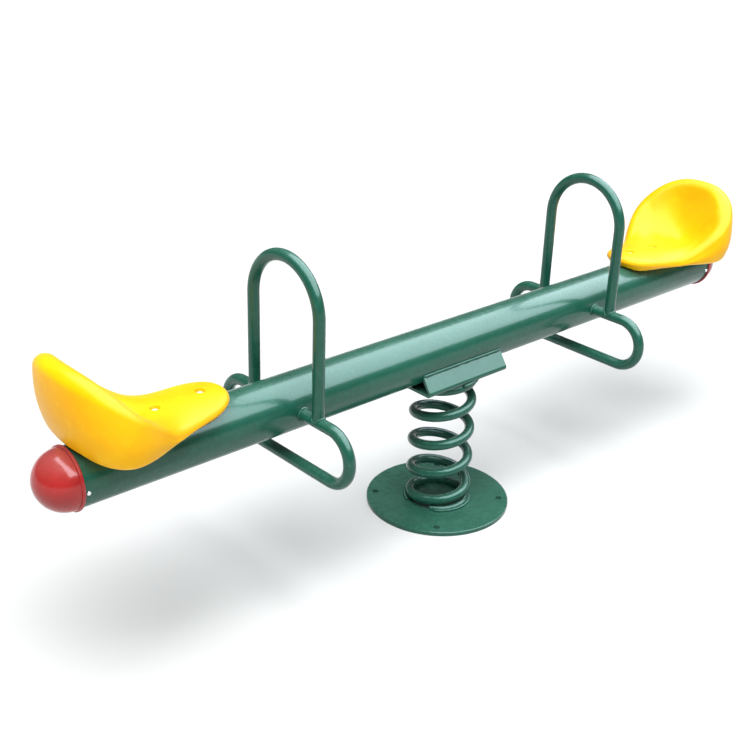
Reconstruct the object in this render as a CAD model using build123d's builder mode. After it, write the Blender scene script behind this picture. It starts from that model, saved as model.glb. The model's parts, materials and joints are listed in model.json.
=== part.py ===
from build123d import *
import os
from math import cos, pi, radians, sin, sqrt, tan

# Spring seesaw for two riders. All sizes are in millimetres.
# Frame: origin on the ground under the spring, +X along the beam, +Z up.

# --- Driving dimensions -------------------------------------------------

# Base plate
plate_d = 400.0
plate_t = 12.0
anchor_edge = 25.0
anchor_hole_d = 18.0
anchor_count = 4
plate_edge = 1.5

# Coil spring
wire_d = 27.0
coil_mean_r = 78.5
spring_h = 382.0
coil_pitch = 87.0
lead_power = 1.25
end_coil_gap = 0.856
coil_start_deg = 212.0
points_per_turn = 16

# Beam tube
beam_od = 140.0
beam_wall = 4.0
beam_half = 1123.0

# Saddle channel between the spring and the beam
saddle_len = 290.0
saddle_w = 206.0
saddle_t = 8.0
saddle_lean_deg = 35.0
saddle_bend_r = 10.0

# Handles and footrests, bent from one size of pipe.
# Sizes named _in are distances back from the beam's end.
pipe_d = 30.0
pipe_wall = 2.5
grip_in = 578.0
hoop_half_w = 123.5
hoop_top = 843.5
loop_rise = 5.0
loop_half_w = 170.0
loop_bend_r = 68.4

# End caps
cap_lip_over = 5.0
cap_lip_t = 8.0
cap_dome_over = 1.0
cap_dome_depth = 72.0
cap_wall = 4.0
spigot_len = 36.0
spigot_gap = 0.3
cap_clearance = 1.0

# Cap rivets
rivet_d = 4.8
rivet_inset = 7.5
rivet_drop = 8.0
rivet_head_d = 10.0
rivet_head_h = 2.0
rivet_bulb_d = 7.5
rivet_bulb_h = 5.0
rivet_gap = 0.1

# Seats: outline points are (distance in from the beam's end, half width)
seat_nose_in = 399.4
seat_sides = ((385.4, 46.1), (353.4, 72.0), (249.1, 99.0), (160.0, 141.0))
seat_wide_in = 79.0
seat_half_w = 167.7
seat_hip_over = 1.0
seat_hip_half_w = 110.0
seat_back_over = 34.8

# Seat heights above the beam: rim points are (distance in, height)
seat_h = 194.0
seat_nose_h = 33.0
seat_rim = ((335.0, 31.0), (261.0, 25.0), (193.0, 30.0), (138.0, 69.0), (79.0, 115.0))
seat_back_lean = 22.0
seat_wall = 33.0
seat_floor = 18.0
seat_sink = 12.0
seat_round = 18.0
bowl_front_in = 223.0
bowl_shoulder = 0.75
bowl_round = 26.0

# Seat fixings: button head bolts into blind rivet nuts.
# Each is (distance in, height of its recess's floor above the beam).
bolt_seats = ((335.0, 22.5), (217.0, 15.5))
bolt_d = 10.0
bolt_head_d = 17.5
bolt_head_h = 5.5
bolt_socket_af = 6.0
bolt_socket_depth = 3.0
bolt_head_rim = 1.0
bolt_head_crown = 0.5
bolt_reach = 21.0
bolt_gap = 0.5
thread_gap = 0.05
washer_d = 21.0
washer_t = 2.0
recess_gap = 2.0
insert_wall = 1.5
insert_len = 23.0
insert_flange_over = 2.0
insert_flange_t = 1.5
insert_bulb_over = 1.5
insert_bulb_h = 4.0
insert_bulb_gap = 1.0
insert_gap = 0.1

# --- Levels and sizes that follow from them -----------------------------

anchor_pcd = plate_d - 2 * anchor_edge
spring_z = plate_t
spring_top = spring_z + spring_h
saddle_top = spring_top + saddle_t
beam_r = beam_od / 2
beam_z = saddle_top + beam_r
beam_top = beam_z + beam_r
pipe_r = pipe_d / 2
stub_z = beam_z - loop_rise
hoop_arc_z = hoop_top - hoop_half_w
grip_x = beam_half - grip_in
loop_bottom = stub_z - 2 * loop_bend_r
cap_lip_r = beam_r + cap_lip_over
cap_dome_r = beam_r + cap_dome_over
lip_outer_u = beam_half + cap_lip_t
tip_u = lip_outer_u + cap_dome_depth
spigot_r = beam_r - beam_wall - spigot_gap
rivet_u = beam_half - rivet_inset
rivet_z = beam_z - rivet_drop
bulb_y = sqrt(spigot_r**2 - (rivet_drop + rivet_d) ** 2) - cap_wall - rivet_gap
seat_nose_u = beam_half - seat_nose_in
seat_wide_u = beam_half - seat_wide_in
seat_hip_u = beam_half + seat_hip_over
seat_back_u = beam_half + seat_back_over
bowl_front_u = beam_half - bowl_front_in
bowl_half_w = seat_half_w - seat_wall
seat_bottom = beam_top - seat_sink
bolt_us = [beam_half - bolt_in for bolt_in, floor_h in bolt_seats]
washer_spots = [(beam_half - bolt_in, 0, beam_top + floor_h) for bolt_in, floor_h in bolt_seats]
insert_r = bolt_d / 2 + insert_wall
insert_flange_r = insert_r + insert_flange_over
insert_bulb_r = insert_r + insert_bulb_over
bulb_top = beam_top - beam_wall - insert_bulb_gap
tan_lean = tan(radians(saddle_lean_deg))
cos_lean = cos(radians(saddle_lean_deg))

stand_on = (Align.CENTER, Align.CENTER, Align.MIN)

# The end coils lie one wire apart, and their rise then runs into the full pitch
end_rise = wire_d + end_coil_gap
lead_turns = (coil_pitch / ((lead_power + 1) * end_rise)) ** (1 / lead_power)
lead_h = coil_pitch * lead_turns / (lead_power + 1)
coil_turns = (spring_h - 2 * lead_h) / coil_pitch + 2 * lead_turns


def lead_height(turn):
    """Height that the wire has climbed, counted from a closed end."""
    if turn < lead_turns:
        return lead_h * (turn / lead_turns) ** (lead_power + 1)
    return lead_h + coil_pitch * (turn - lead_turns)


def coil_height(turn):
    """Height of the wire's centre above the base plate, closed at both ends."""
    if turn < coil_turns / 2:
        return lead_height(turn)
    return spring_h - lead_height(coil_turns - turn)


def coil_point(turn):
    angle = radians(coil_start_deg) + 2 * pi * turn
    height = spring_z + coil_height(turn)
    return (coil_mean_r * cos(angle), coil_mean_r * sin(angle), height)


def pipe_section(path):
    """Ring of the pipe's wall at the start of a path."""
    with BuildSketch(Plane(origin=path @ 0, z_dir=path % 0)) as ring:
        Circle(pipe_r)
        Circle(pipe_r - pipe_wall, mode=Mode.SUBTRACT)
    return ring.sketch


def mirrored_plan(points):
    """Smooth closed plan through points on one side of the X axis and their mirror image."""
    other_side = [(u, -w) for u, w in reversed(points[1:-1])]
    with BuildSketch() as plan:
        with BuildLine():
            Spline(*points, *other_side, periodic=True)
        make_face()
    return plan.sketch


def seat_plan(inset, lean):
    """Plan of the seat's outside, drawn in by inset, with its back brought in by lean."""
    nose = (seat_nose_u + inset, 0)
    sides = [(beam_half - end_in, half_w - inset) for end_in, half_w in seat_sides]
    wide = (seat_wide_u, seat_half_w - inset)
    hip = (seat_hip_u - lean, seat_hip_half_w - inset)
    back = (seat_back_u - lean - inset, 0)
    return mirrored_plan((nose, *sides, wide, hip, back))


def bowl_plan(inset, lean):
    """Plan of the hollow that the rider sits in."""
    front = (bowl_front_u + inset, 0)
    shoulder = ((bowl_front_u + seat_wide_u) / 2, bowl_half_w * bowl_shoulder - inset)
    wide = (seat_wide_u, bowl_half_w - inset)
    back = (seat_back_u - seat_wall - lean - inset, 0)
    return mirrored_plan((front, shoulder, wide, back))


os.makedirs("parts", exist_ok=True)

# --- Base plate: a disc with four anchor holes --------------------------

with BuildPart() as base_plate:
    with BuildSketch(Plane.XY):
        Circle(plate_d / 2)
        with PolarLocations(anchor_pcd / 2, anchor_count, start_angle=45):
            Circle(anchor_hole_d / 2, mode=Mode.SUBTRACT)
    extrude(amount=plate_t)
    chamfer(base_plate.edges().group_by(Axis.Z)[-1].sort_by(SortBy.LENGTH)[-1], plate_edge)
base_plate.part.label = "base_plate"
export_step(base_plate.part, "parts/base_plate.step")

# --- Coil spring: closed and ground flat at both ends -------------------

with BuildPart() as coil_spring:
    point_count = round(coil_turns * points_per_turn)
    with BuildLine() as wire_path:
        Spline(*[coil_point(coil_turns * i / point_count) for i in range(point_count + 1)])
    with BuildSketch(Plane(origin=wire_path.line @ 0, z_dir=wire_path.line % 0)):
        Circle(wire_d / 2)
    sweep(is_frenet=True)
    split(bisect_by=Plane.XY.offset(spring_z), keep=Keep.TOP)
    split(bisect_by=Plane.XY.offset(spring_top), keep=Keep.BOTTOM)
coil_spring.part.label = "coil_spring"
export_step(coil_spring.part, "parts/coil_spring.step")

# --- Saddle: a folded channel whose flanges lean in to hold the tube ----

outer_w = saddle_w / 2
inner_w = outer_w - saddle_t / cos_lean - saddle_t * tan_lean
outer_tip_w = outer_w - (beam_z - spring_top) * tan_lean
inner_tip_w = inner_w - (beam_z - saddle_top) * tan_lean
with BuildPart() as saddle:
    with BuildSketch(Plane.YZ.offset(-saddle_len / 2)) as channel:
        with BuildLine():
            Polyline(
                (-outer_w, spring_top),
                (outer_w, spring_top),
                (outer_tip_w, beam_z),
                (-outer_tip_w, beam_z),
                close=True,
            )
        make_face()
        fillet(channel.vertices().group_by(Axis.Y)[0], saddle_bend_r)
        with BuildLine():
            Polyline(
                (-inner_w, saddle_top),
                (inner_w, saddle_top),
                (inner_tip_w, beam_z),
                (-inner_tip_w, beam_z),
                close=True,
            )
        make_face(mode=Mode.SUBTRACT)
        with Locations((0, beam_z)):
            Circle(beam_r, mode=Mode.SUBTRACT)
    extrude(amount=saddle_len)
saddle.part.label = "saddle"
export_step(saddle.part, "parts/saddle.step")

# --- Beam tube ----------------------------------------------------------

with BuildPart() as beam_tube:
    with BuildSketch(Plane.YZ.offset(-beam_half)):
        with Locations((0, beam_z)):
            Circle(beam_r)
            Circle(beam_r - beam_wall, mode=Mode.SUBTRACT)
    extrude(amount=2 * beam_half)
    with BuildSketch(Plane.XY.offset(beam_z)):
        with Locations(*[(s * u, 0) for s in (-1, 1) for u in bolt_us]):
            Circle(insert_r + insert_gap)
    extrude(amount=beam_od, mode=Mode.SUBTRACT)
    with BuildSketch(Plane.XZ):
        with Locations((-rivet_u, rivet_z), (rivet_u, rivet_z)):
            Circle(rivet_d / 2 + rivet_gap)
    extrude(amount=beam_od, both=True, mode=Mode.SUBTRACT)
beam_tube.part.label = "beam_tube"
export_step(beam_tube.part, "parts/beam_tube.step")

for side_name, side in (("left", -1), ("right", 1)):

    # --- Footrest: one pipe bent to a flat loop, its ends welded to the beam ---

    with BuildPart() as footrest:
        with BuildLine(Plane.YZ.offset(grip_x)) as loop_path:
            Line((-beam_r / 2, stub_z), (-loop_half_w, stub_z))
            ThreePointArc(
                (-loop_half_w, stub_z),
                (-loop_half_w - loop_bend_r, stub_z - loop_bend_r),
                (-loop_half_w, loop_bottom),
            )
            Line((-loop_half_w, loop_bottom), (loop_half_w, loop_bottom))
            ThreePointArc(
                (loop_half_w, loop_bottom),
                (loop_half_w + loop_bend_r, stub_z - loop_bend_r),
                (loop_half_w, stub_z),
            )
            Line((loop_half_w, stub_z), (beam_r / 2, stub_z))
        sweep(sections=pipe_section(loop_path.line), path=loop_path.line)
        with BuildSketch(Plane.YZ.offset(grip_x - pipe_d)):
            with Locations((0, beam_z)):
                Circle(beam_r)
        extrude(amount=2 * pipe_d, mode=Mode.SUBTRACT)
        if side < 0:
            mirror(about=Plane.YZ, mode=Mode.REPLACE)
    footrest.part.label = f"{side_name}_footrest"
    export_step(footrest.part, f"parts/{side_name}_footrest.step")

    # --- Handle: a hoop that stands on the footrest's two stubs -----------------

    with BuildPart() as handle_hoop:
        with BuildLine(Plane.YZ.offset(grip_x)) as hoop_path:
            Line((-hoop_half_w, stub_z), (-hoop_half_w, hoop_arc_z))
            ThreePointArc((-hoop_half_w, hoop_arc_z), (0, hoop_top), (hoop_half_w, hoop_arc_z))
            Line((hoop_half_w, hoop_arc_z), (hoop_half_w, stub_z))
        sweep(sections=pipe_section(hoop_path.line), path=hoop_path.line)
        with BuildSketch(Plane.XZ):
            with Locations((grip_x, stub_z)):
                Circle(pipe_r)
        extrude(amount=loop_half_w, both=True, mode=Mode.SUBTRACT)
        if side < 0:
            mirror(about=Plane.YZ, mode=Mode.REPLACE)
    handle_hoop.part.label = f"{side_name}_handle_hoop"
    export_step(handle_hoop.part, f"parts/{side_name}_handle_hoop.step")

    # --- End cap: a domed plastic plug with a lip and a spigot ------------------

    with BuildPart() as end_cap:
        with BuildSketch(Plane.XZ):
            with BuildLine():
                Polyline(
                    (tip_u - cap_wall, beam_z),
                    (tip_u, beam_z),
                )
                EllipticalCenterArc(
                    (lip_outer_u, beam_z),
                    cap_dome_depth,
                    cap_dome_r,
                    start_angle=0,
                    arc_size=90,
                )
                Polyline(
                    (lip_outer_u, beam_z + cap_dome_r),
                    (lip_outer_u, beam_z + cap_lip_r),
                    (beam_half, beam_z + cap_lip_r),
                    (beam_half, beam_z + spigot_r),
                    (beam_half - spigot_len, beam_z + spigot_r),
                    (beam_half - spigot_len, beam_z + spigot_r - cap_wall),
                    (lip_outer_u, beam_z + spigot_r - cap_wall),
                )
                EllipticalCenterArc(
                    (lip_outer_u, beam_z),
                    cap_dome_depth - cap_wall,
                    spigot_r - cap_wall,
                    start_angle=0,
                    arc_size=90,
                )
            make_face()
        revolve(axis=Axis((0, 0, beam_z), (1, 0, 0)))
        fillet(end_cap.edges().filter_by(GeomType.CIRCLE).group_by(SortBy.RADIUS)[-1], cap_lip_t / 3)
        with BuildSketch(Plane.XZ):
            with Locations((rivet_u, rivet_z)):
                Circle(rivet_d / 2 + rivet_gap)
        extrude(amount=beam_od, both=True, mode=Mode.SUBTRACT)
        if side < 0:
            mirror(about=Plane.YZ, mode=Mode.REPLACE)
    end_cap.part.label = f"{side_name}_end_cap"
    export_step(end_cap.part, f"parts/{side_name}_end_cap.step")

    # --- Two blind rivets that hold the cap, one on each flank of the beam ------

    with BuildPart() as cap_rivets:
        for start, length, diameter in (
            (bulb_y - rivet_bulb_h, rivet_bulb_h, rivet_bulb_d),
            (bulb_y, beam_r + rivet_gap - bulb_y, rivet_d),
            (beam_r + rivet_gap, rivet_head_h, rivet_head_d),
        ):
            with BuildSketch(Plane.XZ.offset(-start)):
                with Locations((rivet_u, rivet_z)):
                    Circle(diameter / 2)
            extrude(amount=-length)
        fillet(cap_rivets.edges().group_by(Axis.Y)[-1], rivet_head_h * 0.8)
        mirror(about=Plane.XZ)
        if side < 0:
            mirror(about=Plane.YZ, mode=Mode.REPLACE)
    cap_rivets.part.label = f"{side_name}_cap_rivets"
    export_step(cap_rivets.part, f"parts/{side_name}_cap_rivets.step")

    # --- Seat: a bucket with a nose that is bolted down on the beam -------------

    with BuildPart() as seat:
        with BuildSketch(Plane.XY.offset(seat_bottom)):
            add(seat_plan(seat_round, seat_back_lean))
        with BuildSketch(Plane.XY.offset(seat_bottom + seat_round)):
            add(seat_plan(0, seat_back_lean))
        with BuildSketch(Plane.XY.offset(beam_top + seat_h)):
            add(seat_plan(0, 0))
        loft(ruled=True)
        with BuildSketch(Plane.XY.offset(beam_top + seat_floor)):
            add(bowl_plan(bowl_round, seat_back_lean))
        with BuildSketch(Plane.XY.offset(beam_top + seat_floor + bowl_round)):
            add(bowl_plan(0, seat_back_lean))
        with BuildSketch(Plane.XY.offset(beam_top + seat_h)):
            add(bowl_plan(0, 0))
        loft(ruled=True, mode=Mode.SUBTRACT)
        with BuildSketch(Plane.XZ):
            with BuildLine():
                rim = Spline(
                    (seat_nose_u - seat_wall, beam_top + seat_nose_h),
                    *[(beam_half - end_in, beam_top + height) for end_in, height in seat_rim],
                    (seat_back_u, beam_top + seat_h),
                )
                Polyline(
                    rim @ 1,
                    (seat_back_u + seat_wall, beam_top + seat_h),
                    (seat_back_u + seat_wall, beam_top + 2 * seat_h),
                    (seat_nose_u - seat_wall, beam_top + 2 * seat_h),
                    rim @ 0,
                )
            make_face()
        extrude(amount=seat_half_w + seat_wall, both=True, mode=Mode.SUBTRACT)
        with BuildSketch(Plane.YZ.offset(beam_half - seat_back_u)):
            with Locations((0, beam_z)):
                Circle(beam_r)
        extrude(amount=2 * seat_back_u, mode=Mode.SUBTRACT)
        with BuildSketch(Plane.YZ.offset(beam_half - cap_clearance)):
            with Locations((0, beam_z)):
                Circle(cap_lip_r + cap_clearance)
        extrude(amount=seat_back_u, mode=Mode.SUBTRACT)
        with Locations(*washer_spots):
            Cylinder(
                washer_d / 2 + recess_gap,
                seat_nose_h,
                align=stand_on,
                mode=Mode.SUBTRACT,
            )
            Cylinder(bolt_d / 2 + bolt_gap, 3 * seat_nose_h, mode=Mode.SUBTRACT)
        with Locations(*[(u, 0, beam_top) for u in bolt_us]):
            Cylinder(insert_flange_r + recess_gap, 4 * insert_flange_t, mode=Mode.SUBTRACT)
        if side < 0:
            mirror(about=Plane.YZ, mode=Mode.REPLACE)
    seat.part.label = f"{side_name}_seat"
    export_step(seat.part, f"parts/{side_name}_seat.step")

    # --- Seat bolts, washers and rivet nuts, one of each at both holes ----------

    with BuildPart() as seat_washers:
        with Locations(*washer_spots):
            Cylinder(washer_d / 2, washer_t, align=stand_on)
            Cylinder(bolt_d / 2 + bolt_gap, 2 * washer_t, mode=Mode.SUBTRACT)
        if side < 0:
            mirror(about=Plane.YZ, mode=Mode.REPLACE)
    seat_washers.part.label = f"{side_name}_seat_washers"
    export_step(seat_washers.part, f"parts/{side_name}_seat_washers.step")

    with BuildPart() as seat_bolts:
        for u, washer_y, washer_z in washer_spots:
            head_z = washer_z + washer_t
            head_top = head_z + bolt_head_h
            with BuildSketch(Plane.XZ):
                with BuildLine():
                    Polyline(
                        (u, beam_top - bolt_reach),
                        (u + bolt_d / 2, beam_top - bolt_reach),
                        (u + bolt_d / 2, head_z),
                        (u + bolt_head_d / 2, head_z),
                        (u + bolt_head_d / 2, head_z + bolt_head_rim),
                    )
                    TangentArc(
                        (u + bolt_head_d / 2, head_z + bolt_head_rim),
                        (u + bolt_head_d / 2 * bolt_head_crown, head_top),
                        tangent=(0, 1),
                    )
                    Polyline(
                        (u + bolt_head_d / 2 * bolt_head_crown, head_top),
                        (u, head_top),
                        (u, beam_top - bolt_reach),
                    )
                make_face()
            revolve(axis=Axis((u, 0, 0), (0, 0, 1)))
            with BuildSketch(Plane.XY.offset(head_top - bolt_socket_depth)):
                with Locations((u, washer_y)):
                    RegularPolygon(bolt_socket_af / 2, 6, major_radius=False)
            extrude(amount=2 * bolt_socket_depth, mode=Mode.SUBTRACT)
        if side < 0:
            mirror(about=Plane.YZ, mode=Mode.REPLACE)
    seat_bolts.part.label = f"{side_name}_seat_bolts"
    export_step(seat_bolts.part, f"parts/{side_name}_seat_bolts.step")

    with BuildPart() as rivet_nuts:
        for u in bolt_us:
            bore = u + bolt_d / 2 + thread_gap
            with BuildSketch(Plane.XZ):
                with BuildLine():
                    Polyline(
                        (bore, beam_top + insert_flange_t),
                        (u + insert_flange_r, beam_top + insert_flange_t),
                        (u + insert_flange_r, beam_top),
                        (u + insert_r, beam_top),
                        (u + insert_r, bulb_top),
                        (u + insert_bulb_r, bulb_top),
                        (u + insert_bulb_r, bulb_top - insert_bulb_h),
                        (u + insert_r, bulb_top - insert_bulb_h),
                        (u + insert_r, beam_top - insert_len),
                        (bore, beam_top - insert_len),
                        close=True,
                    )
                make_face()
            revolve(axis=Axis((u, 0, 0), (0, 0, 1)))
        if side < 0:
            mirror(about=Plane.YZ, mode=Mode.REPLACE)
    rivet_nuts.part.label = f"{side_name}_rivet_nuts"
    export_step(rivet_nuts.part, f"parts/{side_name}_rivet_nuts.step")

print("coil turns", round(coil_turns, 2), "beam axis height", beam_z)
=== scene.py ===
# %% [markdown]
# # A spring seesaw for two riders
# A long steel tube is balanced on one coil spring. The measured steelwork arrives as a fixed frame,
# and this lesson dresses it: it paints the steel, models the moulded seats, winds a spring,
# lays the weld beads, and lights the result like a studio picture.
# All lengths are in metres. +X runs along the beam, and +Z is up.

import json
import math

import bmesh
import bpy
import numpy as np
from mathutils import Matrix, Vector


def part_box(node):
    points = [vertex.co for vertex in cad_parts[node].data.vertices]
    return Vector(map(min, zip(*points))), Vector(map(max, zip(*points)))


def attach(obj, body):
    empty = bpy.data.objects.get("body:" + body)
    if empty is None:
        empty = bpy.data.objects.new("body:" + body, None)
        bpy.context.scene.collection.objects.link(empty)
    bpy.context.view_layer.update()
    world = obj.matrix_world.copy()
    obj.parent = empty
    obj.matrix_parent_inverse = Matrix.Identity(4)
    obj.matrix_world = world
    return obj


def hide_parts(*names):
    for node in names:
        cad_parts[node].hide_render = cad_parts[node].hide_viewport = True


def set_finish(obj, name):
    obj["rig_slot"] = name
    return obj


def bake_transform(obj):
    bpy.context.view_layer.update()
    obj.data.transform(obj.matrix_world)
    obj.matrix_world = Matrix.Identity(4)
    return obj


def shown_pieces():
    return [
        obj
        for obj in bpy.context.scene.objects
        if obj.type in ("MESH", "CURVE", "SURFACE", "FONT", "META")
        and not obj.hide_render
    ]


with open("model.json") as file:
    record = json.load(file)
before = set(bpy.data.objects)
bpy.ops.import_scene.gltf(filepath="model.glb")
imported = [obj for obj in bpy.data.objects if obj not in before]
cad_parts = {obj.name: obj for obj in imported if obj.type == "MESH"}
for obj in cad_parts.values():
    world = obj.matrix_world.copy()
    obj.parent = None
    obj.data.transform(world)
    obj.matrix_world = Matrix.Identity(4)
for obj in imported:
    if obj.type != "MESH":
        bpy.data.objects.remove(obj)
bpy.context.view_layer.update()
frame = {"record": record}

# %% [markdown]
# ## One way to make every curved skin
# A flat grid is like a sheet of clay. If a function says where each point of the sheet goes,
# the sheet can be rolled into a tube, wound into a coil or pressed into a seat.
# Edges that meet are then welded by merging doubles, and the faces are turned outwards.

# %% Roll a grid into a skin
WELD = 1e-5


def skin(around, along, place):
    """A bmesh grid whose points go where place(u, v) says, with u and v from 0 to 1."""
    bm = bmesh.new()
    bmesh.ops.create_grid(bm, x_segments=around, y_segments=along, size=1.0)
    for vert in bm.verts:
        vert.co = place((vert.co.x + 1) / 2, (vert.co.y + 1) / 2)
    bmesh.ops.remove_doubles(bm, verts=bm.verts, dist=WELD)
    return bm


def finish_piece(name, bm, slot, sharp_deg=40.0):
    """Turns a bmesh into a smooth-shaded piece, with crisp edges where faces meet steeply."""
    bmesh.ops.recalc_face_normals(bm, faces=bm.faces)
    for face in bm.faces:
        face.smooth = True
    for edge in bm.edges:
        edge.smooth = len(edge.link_faces) == 2 and edge.calc_face_angle() < math.radians(sharp_deg)
    mesh = bpy.data.meshes.new(name)
    bm.to_mesh(mesh)
    bm.free()
    piece = bpy.data.objects.new(name, mesh)
    bpy.context.scene.collection.objects.link(piece)
    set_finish(piece, slot)
    print(name, len(mesh.polygons), "faces")
    return piece


# %% [markdown]
# ## Sizes that the frame gives
# Every new piece takes its place from the boxes of the parts that it touches,
# so it still fits if the steelwork changes.

# %% Measure the steelwork
spring_low, spring_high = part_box("coil_spring")
saddle_low, saddle_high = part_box("saddle")
beam_low, beam_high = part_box("beam_tube")
loop_low, loop_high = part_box("right_footrest")
hoop_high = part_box("right_handle_hoop")[1]
washer_low, washer_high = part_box("right_seat_washers")

BEAM_R = (beam_high.z - beam_low.z) / 2
BEAM_Z = (beam_high.z + beam_low.z) / 2
BEAM_TOP = beam_high.z
BEAM_END = beam_high.x
PIPE_R = (loop_high.x - loop_low.x) / 2
GRIP_X = (loop_high.x + loop_low.x) / 2
STUB_Z = loop_high.z - PIPE_R
LEG_Y = hoop_high.y - PIPE_R
print("beam radius", round(BEAM_R, 4), "axis height", round(BEAM_Z, 4), "grip at", round(GRIP_X, 4))

# %% [markdown]
# ## The coil spring
# The real spring is one bar of round steel wound cold, closed at both ends and ground flat,
# so that it stands squarely on the plate and under the saddle. When the seesaw rocks,
# the spring bends. It is wound here as a lower and an upper half that meet at the middle.

# %% Wind the spring
WIRE_R = 0.0135
COIL_R = 0.0785
PITCH = 0.087
END_RISE = 2 * WIRE_R + 0.000856
LEAD_POWER = 1.25
START_ANGLE = math.radians(212.0)
LEAD_TURNS = (PITCH / ((LEAD_POWER + 1) * END_RISE)) ** (1 / LEAD_POWER)
LEAD_H = PITCH * LEAD_TURNS / (LEAD_POWER + 1)
SPRING_H = spring_high.z - spring_low.z
TURNS = (SPRING_H - 2 * LEAD_H) / PITCH + 2 * LEAD_TURNS


def lead_height(turn):
    """Height climbed after some turns: slowly at the closed end, then at the full pitch."""
    if turn < LEAD_TURNS:
        return LEAD_H * (turn / LEAD_TURNS) ** (LEAD_POWER + 1)
    return LEAD_H + PITCH * (turn - LEAD_TURNS)


def coil_centre(turn):
    climbed = lead_height(turn) if turn < TURNS / 2 else SPRING_H - lead_height(TURNS - turn)
    angle = START_ANGLE + math.tau * turn
    return Vector((COIL_R * math.cos(angle), COIL_R * math.sin(angle), spring_low.z + climbed))


def coil_skin(turn, section):
    """A point on the wire's surface: turn along the wire, section round it."""
    step = 1e-3
    ahead, behind = min(turn + step, TURNS), max(turn - step, 0)
    run = (coil_centre(ahead) - coil_centre(behind)).normalized()
    angle = START_ANGLE + math.tau * turn
    out = Vector((math.cos(angle), math.sin(angle), 0))
    up = run.cross(out).normalized()
    out = up.cross(run)
    turned = math.tau * section
    return coil_centre(turn) + WIRE_R * (math.cos(turned) * out + math.sin(turned) * up)


def cap_open_ends(bm):
    """Closes every open edge loop with a flat face."""
    rim = [edge for edge in bm.edges if edge.is_boundary]
    bmesh.ops.holes_fill(bm, edges=rim, sides=0)


def wind_half(name, first, last):
    bm = skin(28, 210, lambda u, v: coil_skin(first + (last - first) * v, u))
    cap_open_ends(bm)
    for level, keep_up in ((spring_low.z, True), (spring_high.z, False)):
        cut = bmesh.ops.bisect_plane(
            bm,
            geom=bm.verts[:] + bm.edges[:] + bm.faces[:],
            plane_co=(0, 0, level),
            plane_no=(0, 0, 1),
            clear_inner=keep_up,
            clear_outer=not keep_up,
        )
        ground = [item for item in cut["geom_cut"] if isinstance(item, bmesh.types.BMEdge)]
        if ground:
            bmesh.ops.triangle_fill(bm, edges=ground, use_beauty=True)
    return finish_piece(name, bm, "green_paint")


spring_lower = wind_half("spring_lower", 0, TURNS / 2)
spring_upper = wind_half("spring_upper", TURNS / 2, TURNS)
print("spring turns", round(TURNS, 2))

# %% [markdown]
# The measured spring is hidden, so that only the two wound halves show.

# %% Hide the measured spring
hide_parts("coil_spring")
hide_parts("coil_spring")
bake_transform(spring_lower)
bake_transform(spring_upper)

# %% [markdown]
# ## The seats
# Each seat is a hollow plastic moulding, shaped like a wide spoon. Its nose lies along the beam
# and takes two bolts, its sides rise and spread into a bucket, and the back leans out over the
# cap. One line runs round its rim, and everything else follows from that line: a fat rolled
# edge, a wall that drops to a rounded foot, and a hollow that sinks to the middle of the floor.
# A few points fix the rim, and a closed cubic spline joins them without a kink.

# %% A smooth closed line through points
def closed_spline(points):
    """Function of 0 to 1 that runs once round a smooth closed line through points."""
    knots = np.array(points, float)
    ahead = np.roll(knots, -1, axis=0)
    span = np.linalg.norm(ahead - knots, axis=1)
    before = np.roll(span, 1)
    count = len(knots)
    system = np.diag(2 * (before + span))
    for i in range(count):
        system[i, i - 1] += before[i]
        system[i, (i + 1) % count] += span[i]
    slope = (ahead - knots) / span[:, None]
    curl = np.linalg.solve(system, 6 * (slope - np.roll(slope, 1, axis=0)))
    starts = np.concatenate(([0], np.cumsum(span)))

    def at(share):
        reach = (share % 1) * starts[-1]
        i = min(int(np.searchsorted(starts, reach, side="right")) - 1, count - 1)
        j = (i + 1) % count
        a = (starts[i + 1] - reach) / span[i]
        b = 1 - a
        bend = ((a**3 - a) * curl[i] + (b**3 - b) * curl[j]) * span[i] ** 2 / 6
        return Vector(a * knots[i] + b * knots[j] + bend)

    return at


# %% The rim's line, from the nose round one side to the back
# Each point is the distance in from the beam's end, the half width, and the height over the beam.
RIM_HALF = (
    (0.3825, 0.0, 0.0163),
    (0.3718, 0.0352, 0.0146),
    (0.3478, 0.0556, 0.0111),
    (0.3026, 0.0710, 0.0063),
    (0.2488, 0.0822, 0.0029),
    (0.1980, 0.1036, 0.0097),
    (0.1540, 0.1279, 0.0387),
    (0.1153, 0.1458, 0.0717),
    (0.0796, 0.1509, 0.1012),
    (0.0395, 0.1335, 0.1378),
    (0.0067, 0.0964, 0.1662),
    (-0.0092, 0.0581, 0.1786),
    (-0.0156, 0.0, 0.1828),
)
rim_side = [(BEAM_END - inward, half_w, height) for inward, half_w, height in RIM_HALF]
rim_other = [(x, -y, z) for x, y, z in reversed(rim_side[1:-1])]
rim_line = closed_spline(rim_side + rim_other)
NOSE_X = rim_side[0][0]
BACK_X = rim_side[-1][0]
print("rim from", round(NOSE_X, 3), "to", round(BACK_X, 3))

# %% [markdown]
# The floor of the seat has its own heights along the middle: a gently crowned nose, then the
# lowest place of the bucket. The underside is flat, except where it is moulded to sit on the tube.

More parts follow.
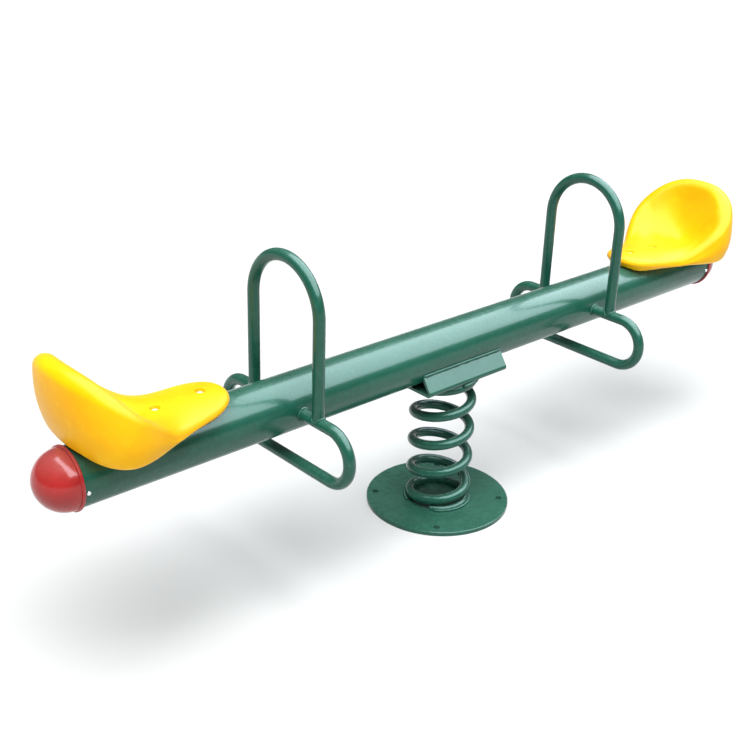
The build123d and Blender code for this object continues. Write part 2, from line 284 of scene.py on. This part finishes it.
# %% Floor and underside
ROLL_NOSE = 0.0169
ROLL_BACK = 0.028
BULGE = 0.012
FOOT_Z = -0.013
FOOT_R = 0.016
FOOT_OUT = 0.0045
BACK_FOOT_R = 0.036
BACK_FOOT_IN = 0.0200
NOSE_FOOT_IN = 0.008
BACK_RUN = 0.08
NOSE_RUN = 0.05
WAIST_START = 0.03
WAIST_RUN = 0.30
TUBE_GAP = 0.0003
FLOOR_X = (NOSE_X + 0.034, NOSE_X + 0.056, NOSE_X + 0.174, NOSE_X + 0.240, NOSE_X + 0.292)
FLOOR_Z = (0.0350, 0.0340, 0.0270, 0.0190, 0.0200)


def middle_of(rim):
    """The point on the seat's middle line that a rim point's section runs to."""
    share = (rim.x - NOSE_X) / (BACK_X - NOSE_X)
    x = FLOOR_X[0] + share * (FLOOR_X[-1] - FLOOR_X[0])
    return Vector((x, 0, float(np.interp(x, FLOOR_X, FLOOR_Z))))


def underside(y):
    """Height of the underside over the beam's top: flat, or resting on the tube."""
    if abs(y) >= BEAM_R:
        return FOOT_Z
    return max(FOOT_Z, math.sqrt(BEAM_R**2 - y**2) - BEAM_R + TUBE_GAP)


# %% [markdown]
# A section of the seat is drawn in stages from the middle of the underside, out to the foot,
# up the wall, over the roll and down into the hollow. The hollow's slope where it leaves the
# roll has to match the roll, so the angle at which it leaves is found by trying it a few times.

# %% The section at one place of the rim
HOLLOW_POWER = 2.2
UNDER_ROWS, FOOT_ROWS, WALL_ROWS, ROLL_ROWS, HOLLOW_ROWS = 6, 4, 4, 8, 10
SECTION_ROWS = UNDER_ROWS + FOOT_ROWS + WALL_ROWS + ROLL_ROWS + HOLLOW_ROWS


def rim_frame(u):
    """Rim point, the way out from it in plan, and the middle point of its section."""
    step = 1e-4
    rim = rim_line(u)
    run = rim_line(u + step) - rim_line(u - step)
    out = Vector((run.y, -run.x, 0)).normalized()
    if out.dot(Vector((rim.x - middle_of(rim).x, rim.y, 0))) < 0:
        out = -out
    return rim, out, middle_of(rim)


def leave_angle(rim, out, middle, roll_r):
    """Angle round the roll, from its outermost point, where the hollow begins."""
    angle = math.pi / 2
    for _ in range(12):
        start = rim + roll_r * (math.cos(angle) * out + math.sin(angle) * Vector((0, 0, 1)))
        run = Vector((start.x - middle.x, start.y, 0)).length
        fall = HOLLOW_POWER * (start.z - middle.z) / run
        angle = 0.5 * angle + 0.5 * (math.pi / 2 + math.atan(fall))
    return angle


def soft_step(share):
    """Runs from 0 to 1 with no kink at either end."""
    share = max(0.0, min(1.0, share))
    return share * share * (3 - 2 * share)


def seat_point(u, v):
    rim, out, middle = rim_frame(u)
    up = Vector((0, 0, 1))
    fatness = soft_step((rim.x - NOSE_X - WAIST_START) / WAIST_RUN)
    roll_r = ROLL_NOSE + (ROLL_BACK - ROLL_NOSE) * fatness
    rim = rim - (roll_r - ROLL_NOSE) * (out + up)
    row = v * SECTION_ROWS
    back_share = max(0.0, min(1.0, (rim.x - BEAM_END + BACK_RUN) / BACK_RUN)) ** 2
    nose_share = max(0.0, 1 - (rim.x - NOSE_X) / NOSE_RUN) ** 2
    foot_out = FOOT_OUT * (1 - back_share - nose_share)
    foot_out += roll_r - ROLL_NOSE - BACK_FOOT_IN * back_share - NOSE_FOOT_IN * nose_share
    rise = rim.z - FOOT_Z
    foot_r = min(FOOT_R + (BACK_FOOT_R - FOOT_R) * back_share, 0.8 * rise)

    def wall(height):
        """Point of the unrounded wall at some height over the foot."""
        share = height / rise
        away = foot_out + (roll_r - foot_out) * share + BULGE * fatness * math.sin(math.pi * share)
        return Vector((rim.x, rim.y, FOOT_Z + height)) + away * out

    if row <= UNDER_ROWS:
        edge = wall(0) - foot_r * out
        share = (row / UNDER_ROWS) ** 0.8
        point = middle.lerp(edge, share)
        return Vector((point.x, point.y, underside(point.y)))
    row -= UNDER_ROWS
    if row <= FOOT_ROWS:
        turned = math.pi / 2 * row / FOOT_ROWS
        point = wall(foot_r * (1 - math.cos(turned))) - foot_r * (1 - math.sin(turned)) * out
        return Vector((point.x, point.y, max(point.z, underside(point.y))))
    row -= FOOT_ROWS
    if row <= WALL_ROWS:
        return wall(foot_r + (rise - foot_r) * row / WALL_ROWS)
    row -= WALL_ROWS
    leave = leave_angle(rim, out, middle, roll_r)
    if row <= ROLL_ROWS:
        turned = leave * row / ROLL_ROWS
        return rim + roll_r * (math.cos(turned) * out + math.sin(turned) * up)
    row -= ROLL_ROWS
    start = rim + roll_r * (math.cos(leave) * out + math.sin(leave) * up)
    share = 1 - row / HOLLOW_ROWS
    point = middle.lerp(start, share)
    return Vector((point.x, point.y, middle.z + (start.z - middle.z) * share**HOLLOW_POWER))


# %% [markdown]
# The skin is closed round the rim and along the middle, then a Subdivision Surface evens it out.
# The two bolt recesses are turned on a lathe, so to speak: a profile is spun into a cutter,
# and a Boolean modifier takes it out of the nose. The modifiers are applied to a new mesh,
# so that the seat is one plain closed shell.

# %% Mould a seat
AROUND = 72
RECESS_R = 0.0118
RECESS_FLARE = 0.0009
WASHER_T = 0.002
bolt_in = (washer_high.y - washer_low.y) / 2
bolt_spots = (
    (washer_low.x + bolt_in, washer_high.z - WASHER_T),
    (washer_high.x - bolt_in, washer_low.z),
)


def recess_cutter(x, floor_z):
    """A closed cutter, flared at the surface of the seat so that its edge comes out soft."""
    surface_z = BEAM_TOP + float(np.interp(x, FLOOR_X, FLOOR_Z))
    profile = (
        (0.0, floor_z),
        (RECESS_R, floor_z),
        (RECESS_R, surface_z - RECESS_FLARE),
        (RECESS_R + 0.3 * RECESS_FLARE, surface_z - 0.5 * RECESS_FLARE),
        (RECESS_R + 1.3 * RECESS_FLARE, surface_z + 0.5 * RECESS_FLARE),
        (RECESS_R + 4 * RECESS_FLARE, surface_z + 10 * RECESS_FLARE),
        (0.0, surface_z + 10 * RECESS_FLARE),
    )
    bm = bmesh.new()
    verts = [bm.verts.new((x + radius, 0, z)) for radius, z in profile]
    edges = [bm.edges.new(pair) for pair in zip(verts, verts[1:])]
    bmesh.ops.spin(
        bm,
        geom=verts + edges,
        cent=(x, 0, 0),
        axis=(0, 0, 1),
        angle=math.tau,
        steps=40,
        use_merge=True,
    )
    bmesh.ops.remove_doubles(bm, verts=bm.verts, dist=WELD)
    bmesh.ops.recalc_face_normals(bm, faces=bm.faces)
    mesh = bpy.data.meshes.new("recess_cutter")
    bm.to_mesh(mesh)
    bm.free()
    cutter = bpy.data.objects.new("recess_cutter", mesh)
    bpy.context.scene.collection.objects.link(cutter)
    return cutter


def mould_seat(name, side):
    bm = skin(AROUND, SECTION_ROWS, seat_point)
    bmesh.ops.translate(bm, vec=(0, 0, BEAM_TOP), verts=bm.verts)
    shell = finish_piece(name, bm, "yellow_plastic")
    cutters = [recess_cutter(x, floor_z) for x, floor_z in bolt_spots]
    rounder = shell.modifiers.new("even out", "SUBSURF")
    rounder.levels = rounder.render_levels = 2
    for cutter in cutters:
        hole = shell.modifiers.new("recess", "BOOLEAN")
        hole.operation, hole.solver, hole.object = "DIFFERENCE", "EXACT", cutter
    graph = bpy.context.evaluated_depsgraph_get()
    cut_mesh = bpy.data.meshes.new_from_object(shell.evaluated_get(graph))
    shell.modifiers.clear()
    for cutter in cutters:
        bpy.data.objects.remove(cutter)
    bpy.data.objects.remove(shell)
    bm = bmesh.new()
    bm.from_mesh(cut_mesh)
    bmesh.ops.remove_doubles(bm, verts=bm.verts, dist=WELD)
    if side < 0:
        bmesh.ops.scale(bm, vec=(-1, 1, 1), verts=bm.verts)
    return finish_piece(name, bm, "yellow_plastic", sharp_deg=32.0)


for side_name, side in (("left", -1), ("right", 1)):
    seat_shell = mould_seat(f"{side_name}_seat_shell", side)
    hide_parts(f"{side_name}_seat")
    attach(seat_shell, "beam")

# %% [markdown]
# ## Weld beads
# A welder joins the pipes with one run of small overlapping puddles, and the paint covers them.
# Each bead is a thin tube swept along the line where two parts meet, with a fatness that
# swells and shrinks for every puddle. It fills the corner and catches small points of light.

# %% Lay a bead along a line
BEAD_R = 0.0036
PUDDLE = 0.0042
BEAD_STEP = 0.0011
BEAD_SIDES = 10
LEG_BEAD_R = 0.0030
SADDLE_BEAD_R = 0.0042
SPRING_BEAD_R = 0.0045
MOUTH_ROUND = 0.01


def bead(line, closed, radius=BEAD_R, wander=0.0):
    """A bmesh bead along line(t), t from 0 to 1. Open runs are capped by shrinking to a point."""
    probe = [line(i / 200) for i in range(201)]
    length = sum((b - a).length for a, b in zip(probe, probe[1:]))
    puddles = max(3, round(length / PUDDLE))

    def place(u, v):
        step = 1e-3
        at = line(v)
        ahead, behind = (v + step, v - step) if closed else (min(v + step, 1), max(v - step, 0))
        run = (line(ahead) - line(behind)).normalized()
        side = run.orthogonal() if abs(run.z) > 0.9 else run.cross(Vector((0, 0, 1)))
        side.normalize()
        up = side.cross(run)
        bow = 0.06 / puddles * math.sin(math.tau * u)
        ripple = 1 + 0.16 * math.cos(math.tau * puddles * (v + bow))
        lump = 1 + 0.10 * math.sin(17.3 * v * length / 0.1 + wander)
        lump += 0.07 * math.sin(41.0 * v + 2 * wander)
        fat = radius * ripple * lump
        if not closed:
            ends = min(v, 1 - v) * length / (1.5 * radius)
            fat *= math.sqrt(max(0.0, 1 - (1 - min(1.0, ends)) ** 2))
        return at + fat * (math.cos(math.tau * u) * side + math.sin(math.tau * u) * up)

    return skin(BEAD_SIDES, max(24, round(length / BEAD_STEP)), place)


def join_beads(name, beads, body):
    """Several beads as one piece that rides on a body."""
    whole = bmesh.new()
    for part in beads:
        mesh = bpy.data.meshes.new("bead")
        bmesh.ops.recalc_face_normals(part, faces=part.faces)
        part.to_mesh(mesh)
        part.free()
        whole.from_mesh(mesh)
        bpy.data.meshes.remove(mesh)
    piece = finish_piece(name, whole, "green_paint", sharp_deg=80.0)
    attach(piece, body)
    return piece


# %% [markdown]
# Where a pipe runs into the beam, the joint line is a ring that dips over the beam's curve.
# Where a handle's leg stands on a footrest's stub of the same size, it is a fish mouth.

# %% Beads on the handles and footrests
def stub_line(side, flank):
    def at(t):
        angle = math.tau * t
        height = STUB_Z + PIPE_R * math.sin(angle) - BEAM_Z
        y = math.sqrt(BEAM_R**2 - height**2)
        return Vector((side * GRIP_X + PIPE_R * math.cos(angle), flank * y, BEAM_Z + height))

    return at


def leg_line(side, flank):
    def at(t):
        angle = math.tau * t
        saddle_z = STUB_Z + PIPE_R * math.sqrt(math.sin(angle) ** 2 + MOUTH_ROUND)
        x = side * GRIP_X + PIPE_R * math.cos(angle)
        return Vector((x, flank * LEG_Y + PIPE_R * math.sin(angle), saddle_z))

    return at


for side_name, side in (("left", -1), ("right", 1)):
    stub_beads = [bead(stub_line(side, flank), True, wander=side + flank) for flank in (-1, 1)]
    join_beads(f"{side_name}_stub_welds", stub_beads, "beam")
    leg_beads = [
        bead(leg_line(side, flank), True, LEG_BEAD_R, 2 * side + flank) for flank in (-1, 1)
    ]
    join_beads(f"{side_name}_leg_welds", leg_beads, "beam")

# %% Beads on the saddle and the spring's ends
flange_z = saddle_high.z
flange_y = math.sqrt(BEAM_R**2 - (flange_z - BEAM_Z) ** 2)


def flange_line(flank):
    def at(t):
        x = saddle_low.x + (saddle_high.x - saddle_low.x) * t
        return Vector((x, flank * (flange_y + 0.001), flange_z + 0.0005))

    return at


saddle_beads = [bead(flange_line(flank), False, SADDLE_BEAD_R, flank) for flank in (-1, 1)]
join_beads("saddle_welds", saddle_beads, "beam")


def ring_run(radius, z, start_deg, end_deg):
    def at(t):
        angle = math.radians(start_deg + (end_deg - start_deg) * t)
        return Vector((radius * math.cos(angle), radius * math.sin(angle), z))

    return at


foot_runs = ((219.0, 318.0), (345.0, 400.0), (95.0, 160.0))
HEAD_TURN = 40.0
ring_r = COIL_R + WIRE_R * 0.98


def ring_bead(z, start_deg, end_deg, wander):
    return bead(ring_run(ring_r, z, start_deg, end_deg), False, SPRING_BEAD_R, wander)


foot_beads = [ring_bead(spring_low.z + 0.002, a, b, a) for a, b in foot_runs]
join_beads("spring_foot_welds", foot_beads, "base")
head_beads = [
    ring_bead(spring_high.z - 0.002, a + HEAD_TURN, b + HEAD_TURN, b) for a, b in foot_runs
]
join_beads("spring_head_welds", head_beads, "beam")

# %% [markdown]
# ## Writing shader maths as plain sums
# A material is a graph of small nodes. Drawn by hand it sprawls, so one small class holds a
# wire of that graph and lets Python's own signs add the Math nodes: `1 - mask * 0.5` works as
# it reads. Any other kind of node comes from the single method `node`.

# %% The wire class
class Wire:
    """An output socket, on its way to the next node of a material."""

    def __init__(self, socket):
        self.socket = socket

    def node(self, kind, settings=None, inputs=None, output=0):
        """Adds a node: its type, its settings, then the values or wires of its sockets."""
        tree = self.socket.id_data
        node = tree.nodes.new(kind)
        for key, value in (settings or {}).items():
            setattr(node, key, value)
        for key, value in (inputs or {}).items():
            if isinstance(value, Wire):
                tree.links.new(value.socket, node.inputs[key])
            else:
                node.inputs[key].default_value = value
        return Wire(node.outputs[output])

    def maths(self, operation, first, second):
        return self.node("ShaderNodeMath", {"operation": operation}, {0: first, 1: second})

    def __add__(self, other):
        return self.maths("ADD", self, other)

    __radd__ = __add__

    def __mul__(self, other):
        return self.maths("MULTIPLY", self, other)

    __rmul__ = __mul__

    def __sub__(self, other):
        return self.maths("SUBTRACT", self, other)

    def __rsub__(self, other):
        return self.maths("SUBTRACT", other, self)

    def step(self, low, high):
        """A soft step: 0 below low, 1 above high."""
        ranges = {"From Min": low, "From Max": high}
        return self.node(
            "ShaderNodeMapRange", {"interpolation_type": "SMOOTHSTEP"}, {"Value": self, **ranges}
        )

    def noise(self, scale, detail=3.0, roughness=0.5):
        """Cloudy noise from 0 to 1 at this place, scale in features per metre."""
        sizes = {"Scale": scale, "Detail": detail, "Roughness": roughness}
        return self.node("ShaderNodeTexNoise", {}, {"Vector": self, **sizes})

    def paint(self, under, over):
        """Colour that is under where this wire is 0 and over where it is 1."""
        return self.node(
            "ShaderNodeMix", {"data_type": "RGBA"}, {0: self, 6: under, 7: over}, output=2
        )


def start_material(name):
    """A new material, its shader, and a wire that carries the place on the piece."""
    material = bpy.data.materials.new(name)
    material.use_nodes = True
    tree = material.node_tree
    shader = next(node for node in tree.nodes if node.type == "BSDF_PRINCIPLED")
    place = Wire(tree.nodes.new("ShaderNodeTexCoord").outputs["Object"])
    return material, shader, place


def feed(shader, **wires):
    """Links wires to the shader's sockets, whose names have _ for a space."""
    for key, wire in wires.items():
        shader.id_data.links.new(wire.socket, shader.inputs[key.replace("_", " ")])


def facing_up(place):
    """1 where the surface faces the sky, 0 where it faces sideways or down."""
    normal = place.node("ShaderNodeNewGeometry", output=1)
    return normal.node("ShaderNodeSeparateXYZ", {}, {0: normal}, output=2).step(0.25, 1.0)


# %% [markdown]
# ## Green powder coat
# The steel is powder coated: a thick, glossy skin of deep green with a faint orange-peel
# texture, since the powder melts into tiny hills. Dust settles on top faces, and a few pale
# nicks show where something has knocked it. A thin clear coat on top sharpens the gloss.

# %% Mix the green paint
GREEN = (0.011, 0.090, 0.058, 1)
GREEN_LIGHT = (0.016, 0.108, 0.072, 1)
GREEN_DEEP = (0.009, 0.078, 0.050, 1)
DUST = (0.42, 0.43, 0.39, 1)
DUSTINESS = 0.04
NICK = (0.16, 0.22, 0.20, 1)


def green_paint(name):
    material, shader, place = start_material(name)
    cloud = place.noise(7.0, 4.0)
    mottle = place.noise(60.0, 3.0)
    colour = cloud.step(0.35, 0.7).paint(GREEN_DEEP, GREEN)
    colour = (mottle.step(0.45, 0.75) * 0.6).paint(colour, GREEN_LIGHT)
    specks = place.noise(420.0, 2.0, 0.7)
    dust = facing_up(place) * (0.35 + cloud * 0.9) * (0.5 + specks) * DUSTINESS
    colour = dust.paint(colour, DUST)
    nick = place.noise(95.0, 2.0, 0.6).step(0.745, 0.765)
    colour = (nick * 0.35).paint(colour, NICK)
    peel = place.noise(330.0, 2.0) * 0.6 + place.noise(120.0, 1.0) * 0.9 - nick * 1.4
    bump = peel.node("ShaderNodeBump", {}, {"Strength": 0.08, "Distance": 0.0006, "Height": peel})
    feed(shader, Base_Color=colour, Roughness=0.20 + mottle * 0.08 + dust * 1.2, Normal=bump)
    shader.inputs["Specular IOR Level"].default_value = 0.28
    shader.inputs["Coat Weight"].default_value = 0.16
    shader.inputs["Coat Roughness"].default_value = 0.05
    return material


# %% [markdown]
# ## Yellow plastic
# The seats are rotational mouldings in bright yellow. Such plastic is softer in its shine than
# paint, it carries the fine grain of the mould, and riders leave scuffs on it and a little grime.
# A touch of subsurface scattering keeps its shadows warm.

# %% Mix the yellow plastic
YELLOW = (0.93, 0.50, 0.003, 1)
YELLOW_PALE = (0.95, 0.55, 0.006, 1)
YELLOW_DEEP = (0.88, 0.42, 0.001, 1)


def yellow_plastic(name):
    material, shader, place = start_material(name)
    cloud = place.noise(9.0, 4.0)
    colour = cloud.step(0.3, 0.75).paint(YELLOW_DEEP, YELLOW)
    colour = (place.noise(40.0, 3.0).step(0.5, 0.8) * 0.5).paint(colour, YELLOW_PALE)
    squash = place.node("ShaderNodeMapping", {}, {"Vector": place, "Scale": (1.0, 7.0, 3.0)})
    scuff = squash.noise(26.0, 6.0, 0.7).step(0.66, 0.78)
    colour = (scuff * 0.16).paint(colour, (0.95, 0.64, 0.10, 1))
    grime = place.noise(150.0, 4.0, 0.7).step(0.62, 0.85) * 0.10
    colour = grime.paint(colour, (0.46, 0.24, 0.02, 1))
    grain = place.noise(900.0, 2.0) * 0.5 + place.noise(26.0, 2.0) * 1.4 + scuff * 0.1
    bump = grain.node("ShaderNodeBump", {}, {"Strength": 0.14, "Distance": 0.0008, "Height": grain})
    feed(shader, Base_Color=colour, Roughness=0.33 + cloud * 0.08 + scuff * 0.15, Normal=bump)
    shader.inputs["Specular IOR Level"].default_value = 0.12
    shader.inputs["Subsurface Weight"].default_value = 0.03
    shader.inputs["Subsurface Radius"].default_value = (0.010, 0.005, 0.001)
    shader.inputs["Subsurface Scale"].default_value = 1.0
    return material


# %% [markdown]
# ## Red plastic and bare metal
# The end caps are a darker, denser moulding with a soft shine and fine wipe marks. The bolts and
# washers are zinc plated, which gives a cool mottled grey, and the rivets are plain aluminium.

# %% Mix the red plastic and the metals
def red_plastic(name):
    material, shader, place = start_material(name)
    cloud = place.noise(14.0, 4.0)
    colour = cloud.step(0.3, 0.75).paint((0.30, 0.014, 0.013, 1), (0.38, 0.020, 0.018, 1))
    turned = place.node("ShaderNodeMapping", {}, {"Vector": place, "Scale": (1.0, 6.0, 6.0)})
    wipe = turned.noise(18.0, 5.0, 0.7).step(0.55, 0.8)
    colour = (wipe * 0.12).paint(colour, (0.50, 0.12, 0.10, 1))
    dust = facing_up(place) * (0.04 + place.noise(300.0, 2.0, 0.7) * 0.10)
    colour = dust.paint(colour, DUST)
    grain = place.noise(700.0, 2.0) * 0.4 + place.noise(40.0, 2.0) * 1.2
    bump = grain.node("ShaderNodeBump", {}, {"Strength": 0.08, "Distance": 0.0008, "Height": grain})
    feed(shader, Base_Color=colour, Roughness=0.16 + wipe * 0.10 + dust, Normal=bump)
    shader.inputs["Specular IOR Level"].default_value = 0.30
    shader.inputs["Coat Weight"].default_value = 0.30
    shader.inputs["Coat Roughness"].default_value = 0.06
    return material


def bare_metal(name, tint, roughness, metallic=1.0):
    material, shader, place = start_material(name)
    cloud = place.noise(160.0, 4.0, 0.6)
    tarnish = place.noise(480.0, 3.0, 0.7).step(0.55, 0.8)
    dark = tuple(0.62 * part for part in tint[:3]) + (1,)
    colour = (cloud.step(0.35, 0.75) * 0.5 + tarnish * 0.3).paint(tint, dark)
    grain = place.noise(1500.0, 2.0) + cloud * 0.6
    bump = grain.node("ShaderNodeBump", {}, {"Strength": 0.12, "Distance": 0.0003, "Height": grain})
    feed(shader, Base_Color=colour, Roughness=roughness + tarnish * 0.2, Normal=bump)
    shader.inputs["Metallic"].default_value = metallic
    return material


# %% Dress every piece
finishes = {
    "green_paint": green_paint("green_powder_coat"),
    "yellow_plastic": yellow_plastic("yellow_moulded_plastic"),
    "red_plastic": red_plastic("red_moulded_plastic"),
    "zinc_steel": bare_metal("zinc_plated_steel", (0.88, 0.88, 0.86, 1), 0.34, metallic=0.7),
    "rivet_aluminium": bare_metal("rivet_aluminium", (0.86, 0.87, 0.88, 1), 0.30),
}
slot_of = {row["node"]: row["material_slot"] for row in frame["record"]["subparts"]}
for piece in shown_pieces():
    slot_name = slot_of.get(piece.name) or piece["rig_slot"]
    piece.data.materials.clear()
    piece.data.materials.append(finishes[slot_name])

# %% [markdown]
# ## The studio
# The object stands on a plain pale floor. One very large softbox hangs overhead, a little to the
# front, because a glossy tube is drawn by what it reflects: the softbox makes the long pale band
# along the beam, with a crisp edge. The room itself is kept dim, so the band has something
# to stand out against, and a broad soft key that leaves no reflections lights the tops.
# Past the floor's far edge the room looks pale, as a studio wall does, though it lights dimly.

# %% Floor and lights
def add_floor():
    bm = bmesh.new()
    bmesh.ops.create_grid(bm, x_segments=1, y_segments=1, size=40.0)
    mesh = bpy.data.meshes.new("floor")
    bm.to_mesh(mesh)
    bm.free()
    floor = bpy.data.objects.new("floor", mesh)
    bpy.context.scene.collection.objects.link(floor)
    material, shader, place = start_material("pale_floor")
    shade = place.noise(1.2, 3.0)
    feed(shader, Base_Color=shade.paint((0.52, 0.52, 0.52, 1), (0.54, 0.54, 0.54, 1)))
    shader.inputs["Roughness"].default_value = 0.9
    mesh.materials.append(material)


def add_light(name, kind, place, aim, **settings):
    light = bpy.data.lights.new(name, kind)
    for key, value in settings.items():
        setattr(light, key, value)
    lamp = bpy.data.objects.new(name, light)
    lamp.location = place
    lamp.rotation_mode = "QUATERNION"
    lamp.rotation_quaternion = (Vector(aim) - Vector(place)).to_track_quat("-Z", "Y")
    bpy.context.scene.collection.objects.link(lamp)
    return lamp


add_floor()
softbox = add_light(
    "softbox", "AREA", (2.0, -1.5, 3.2), (2.0, -1.5, 0.0),
    shape="RECTANGLE", size=7.5, size_y=6.0, energy=1280.0, color=(0.82, 1.0, 1.08),
)
softbox.visible_diffuse = False
key = add_light(
    "key", "SUN", (-0.7, -0.8, 4.0), (0.0, 0.0, 0.4), energy=6.3, angle=math.radians(55)
)
key.visible_glossy = False

world = bpy.data.worlds.new("room")
world.use_nodes = True
bpy.context.scene.world = world
sky = world.node_tree.nodes["Background"]
sky.inputs["Color"].default_value = (0.92, 0.97, 1.0, 1)
seen = Wire(world.node_tree.nodes.new("ShaderNodeLightPath").outputs["Is Camera Ray"])
world.node_tree.links.new((seen * 0.82 + 0.18).socket, sky.inputs["Strength"])
bpy.context.scene.view_settings.view_transform = "Standard"

# %% [markdown]
# ## The camera
# The camera stands a little in front of the left seat, above head height, and looks down the
# beam with a moderately long lens. It is given by the direction that it looks from, a small
# roll, and its place.

# %% Set up the camera
AZIMUTH, ELEVATION, ROLL = (math.radians(angle) for angle in (-42.673, 24.928, 1.906))
CAMERA_PLACE = (-2.1305, -2.034, 1.747)

level = math.cos(ELEVATION)
back = Vector((math.sin(AZIMUTH) * level, -math.cos(AZIMUTH) * level, math.sin(ELEVATION)))
right = Vector((math.cos(AZIMUTH), math.sin(AZIMUTH), 0))
top = back.cross(right)
rolled_right = math.cos(ROLL) * right + math.sin(ROLL) * top
rolled_top = math.cos(ROLL) * top - math.sin(ROLL) * right

lens = bpy.data.cameras.new("camera")
lens.sensor_width = 36.0
lens.lens = 57.25
camera = bpy.data.objects.new("camera", lens)
facing = Matrix((rolled_right, rolled_top, back)).transposed()
camera.matrix_world = Matrix.Translation(CAMERA_PLACE) @ facing.to_4x4()
bpy.context.scene.collection.objects.link(camera)
bpy.context.scene.camera = camera
